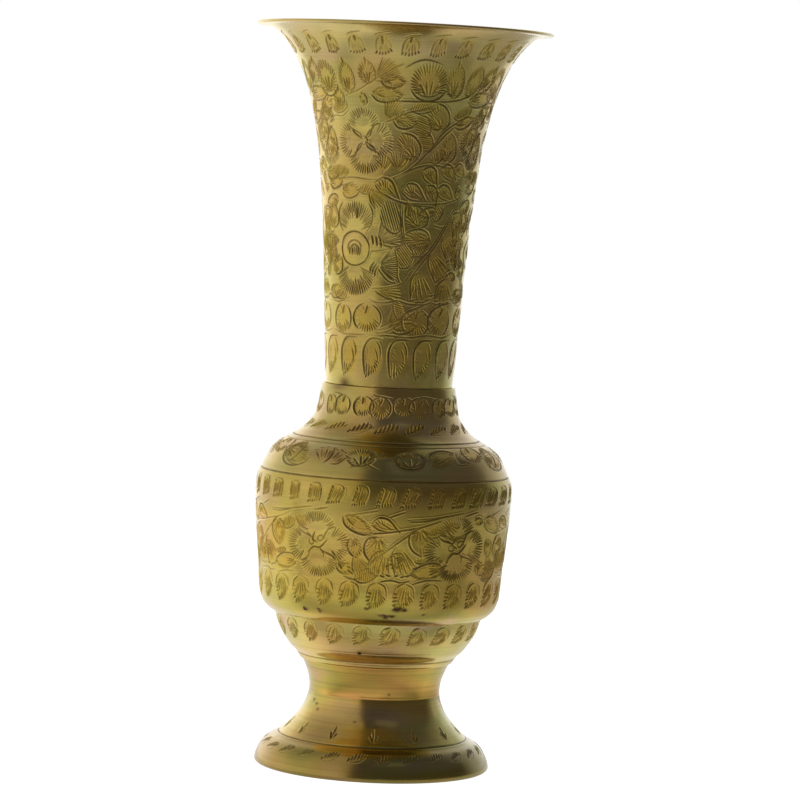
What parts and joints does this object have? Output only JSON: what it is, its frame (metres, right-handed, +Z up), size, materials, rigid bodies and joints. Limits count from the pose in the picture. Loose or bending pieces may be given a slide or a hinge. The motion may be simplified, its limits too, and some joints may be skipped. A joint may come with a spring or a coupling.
{
  "type": "flower vase",
  "caption": "Tall engraved brass flower vase with a flared trumpet neck, sloping shoulder, drum belly, small bowl and hollow pedestal foot.",
  "frame": {"origin": "middle of the ring that the foot stands on", "axes": "+Z up along the vase's axis; the object is round, +X and +Y only place the engraving"},
  "size_m": [0.12, 0.12, 0.3],
  "materials": {
    "brass_neck": "hand-engraved and lacquered, olive gold with dark patina in the cuts",
    "brass_shoulder": "hand-engraved, browned lacquer",
    "brass_belly": "hand-engraved and lacquered, olive gold with faint rainbow tarnish",
    "brass_bowl": "engraved band over turned grooves, rainbow tarnish",
    "brass_foot": "turned, lacquered, light punch marks on the rim",
    "spelter": "dull brazing spelter with flux stain"
  },
  "bodies": {
    "root": {"neck": "brass_neck", "shoulder": "brass_shoulder", "belly": "brass_belly", "bowl": "brass_bowl", "foot": "brass_foot", "neck_braze": "spelter", "shoulder_braze": "spelter", "belly_braze": "spelter", "foot_braze": "spelter"}
  },
  "joints": []
}
